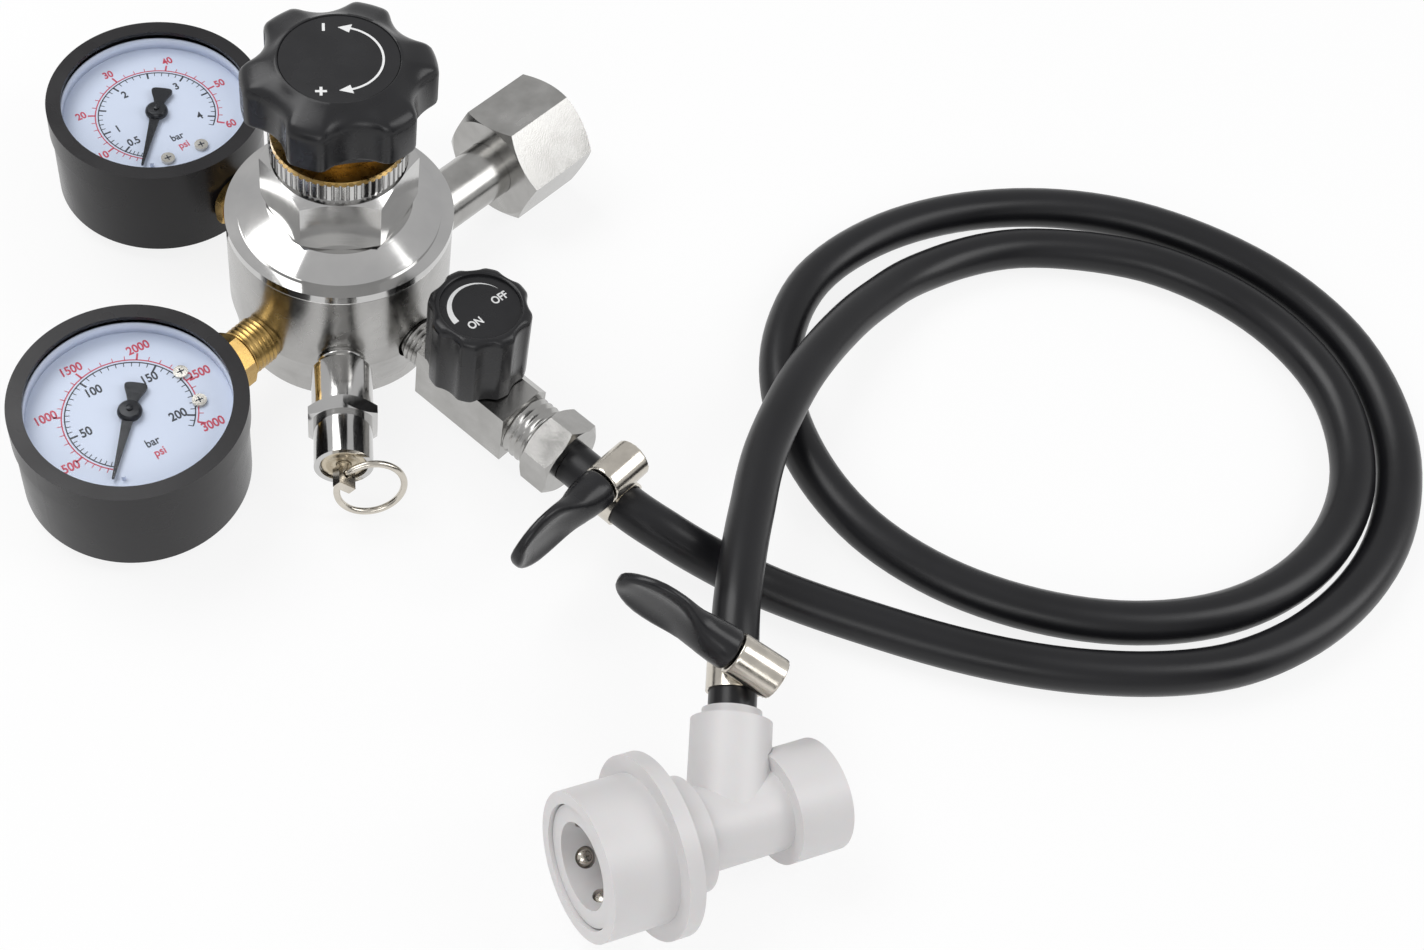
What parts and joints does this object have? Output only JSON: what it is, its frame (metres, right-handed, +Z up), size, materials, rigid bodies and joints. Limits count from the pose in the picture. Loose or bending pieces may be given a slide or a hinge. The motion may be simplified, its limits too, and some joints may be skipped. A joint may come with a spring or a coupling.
{
  "type": "gas pressure regulator",
  "caption": "Carbon dioxide regulator with cylinder nut, dial gauges, relief valve, shut-off valve, hose with screw clamps and push-on disconnect.",
  "frame": {"origin": "centre of the flat underside of the regulator body, on the table", "axes": "+Z up along the body's and the adjusting knob's axis; -Y outwards along the relief valve; the hose and the disconnect lie towards +X and -Y"},
  "size_m": [0.3733, 0.2714, 0.0971],
  "materials": {
    "plated_zinc": "cloudy bright nickel plating",
    "chrome": "polished chrome plating",
    "satin_nickel": "satin nickel plating",
    "brass": "turned, bright",
    "steel": "stainless, brushed",
    "spring_steel": "oil-dark spring wire",
    "black_plastic": "fine satin grain",
    "black_paint": "semi-gloss black enamel",
    "dial_white": "printed white enamel",
    "clear": "clear flat lens",
    "pale_plastic": "light grey acetal",
    "nylon": "white nylon",
    "rubber_black": "smooth, slightly glossy",
    "hose_pvc": "smooth black hose, soft sheen"
  },
  "bodies": {
    "regulator": {"regulator_body": "plated_zinc", "bonnet": "chrome", "knurled_collar": "chrome", "screw_bush": "brass", "diaphragm": "rubber_black", "diaphragm_plate": "steel", "range_spring": "spring_steel", "seat_nozzle": "brass", "poppet_spring": "spring_steel", "inlet_stem": "satin_nickel", "inlet_washer": "nylon", "inlet_filter": "brass", "inlet_gauge_case": "black_paint", "inlet_gauge_bezel": "black_paint", "inlet_gauge_lens": "clear", "inlet_gauge_dial": "dial_white", "inlet_gauge_socket": "brass", "inlet_gauge_tube": "brass", "inlet_gauge_movement": "brass", "outlet_gauge_case": "black_paint", "outlet_gauge_bezel": "black_paint", "outlet_gauge_lens": "clear", "outlet_gauge_dial": "dial_white", "outlet_gauge_socket": "brass", "outlet_gauge_tube": "brass", "outlet_gauge_movement": "brass", "dial_screws": "steel", "relief_body": "chrome", "relief_cap": "chrome", "relief_spring": "spring_steel", "valve_body": "satin_nickel", "packing_nut": "satin_nickel", "hose_tail": "brass", "hose_nut": "satin_nickel", "hose": "hose_pvc", "clamp_bands": "steel", "clamp_housings": "steel", "coupler_body": "pale_plastic", "coupler_cap": "pale_plastic", "coupler_spring": "spring_steel", "coupler_sleeve_spring": "spring_steel", "coupler_seal": "rubber_black", "coupler_balls": "steel"},
    "spring_seat_unit": {"spring_seat": "brass"},
    "pressure_knob_unit": {"adjusting_screw": "brass", "pressure_knob": "black_plastic", "knob_disc": "black_plastic"},
    "seat_poppet": {"seat_poppet": "brass"},
    "cylinder_nut": {"inlet_nut": "satin_nickel"},
    "inlet_gauge_pointer": {"inlet_gauge_pointer": "black_plastic"},
    "outlet_gauge_pointer": {"outlet_gauge_pointer": "black_plastic"},
    "relief_pin": {"relief_pin": "steel"},
    "pull_ring": {"pull_ring": "steel"},
    "valve_spindle": {"valve_stem": "brass", "valve_knob": "black_plastic"},
    "clamp_key_1": {"clamp_key_1": "black_plastic"},
    "clamp_key_2": {"clamp_key_2": "black_plastic"},
    "coupler_sleeve": {"coupler_sleeve": "pale_plastic"},
    "coupler_poppet": {"coupler_poppet": "steel"}
  },
  "joints": [
    {"name": "spring_seat_slide", "type": "slide", "parent": "regulator", "child": "spring_seat_unit", "axis": [0, 0, -1], "range_m": [0, 0.0045], "deforming": ["range_spring"]},
    {"name": "pressure_knob_turn", "type": "hinge", "parent": "spring_seat_unit", "child": "pressure_knob_unit", "pos_m": [0, 0, 0.09], "axis": [0, 0, -1], "range_deg": [0, 1080]},
    {"name": "seat_poppet_slide", "type": "slide", "parent": "regulator", "child": "seat_poppet", "axis": [0, 0, -1], "range_m": [0, 0.0008], "stiffness_N_per_m": 2000, "springref_m": -0.0005, "deforming": ["poppet_spring"]},
    {"name": "cylinder_nut_spin", "type": "hinge", "parent": "regulator", "child": "cylinder_nut", "pos_m": [0.04325, 0.03894, 0.0165], "axis": [0.7431, 0.6691, 0], "continuous": true},
    {"name": "inlet_pointer_turn", "type": "hinge", "parent": "regulator", "child": "inlet_gauge_pointer", "pos_m": [-0.05303, -0.05303, 0.028], "axis": [0, 0, -1], "range_deg": [0, 270], "stiffness_Nm_per_rad": 0.0002},
    {"name": "outlet_pointer_turn", "type": "hinge", "parent": "regulator", "child": "outlet_gauge_pointer", "pos_m": [-0.04999, 0.04999, 0.028], "axis": [0, 0, -1], "range_deg": [0, 270], "stiffness_Nm_per_rad": 0.0002},
    {"name": "relief_pin_pull", "type": "slide", "parent": "regulator", "child": "relief_pin", "axis": [0, -1, 0], "range_m": [0, 0.0025], "stiffness_N_per_m": 2000, "springref_m": -0.0005, "deforming": ["relief_spring"]},
    {"name": "pull_ring_swing", "type": "hinge", "parent": "relief_pin", "child": "pull_ring", "pos_m": [0, -0.06555, 0.0165], "axis": [-0.6307, 0, -0.776], "range_deg": [-8, 90]},
    {"name": "valve_knob_turn", "type": "hinge", "parent": "regulator", "child": "valve_spindle", "pos_m": [0.03431, -0.03679, 0.04], "axis": [0, 0, 1], "range_deg": [0, 180]},
    {"name": "clamp_key_1_turn", "type": "hinge", "parent": "regulator", "child": "clamp_key_1", "pos_m": [0.06731, -0.07218, 0.0262], "axis": [-0.7314, -0.682, 0], "range_deg": [-60, 60]},
    {"name": "clamp_key_2_turn", "type": "hinge", "parent": "regulator", "child": "clamp_key_2", "pos_m": [0.09222, -0.13147, 0.03488], "axis": [-0.8332, 0.4259, 0.3528], "range_deg": [-60, 60]},
    {"name": "coupler_sleeve_slide", "type": "slide", "parent": "regulator", "child": "coupler_sleeve", "axis": [0.9351, 0.322, -0.1478], "range_m": [0, 0.003], "stiffness_N_per_m": 1000, "springref_m": -0.002, "deforming": ["coupler_sleeve_spring"]},
    {"name": "coupler_poppet_slide", "type": "slide", "parent": "regulator", "child": "coupler_poppet", "axis": [0.9351, 0.322, -0.1478], "range_m": [0, 0.002], "stiffness_N_per_m": 500, "springref_m": -0.002, "deforming": ["coupler_spring"]}
  ],
  "couplings": [
    {"joint": "spring_seat_slide", "follows": "pressure_knob_turn", "m_per_rad": 0.00023873}
  ]
}
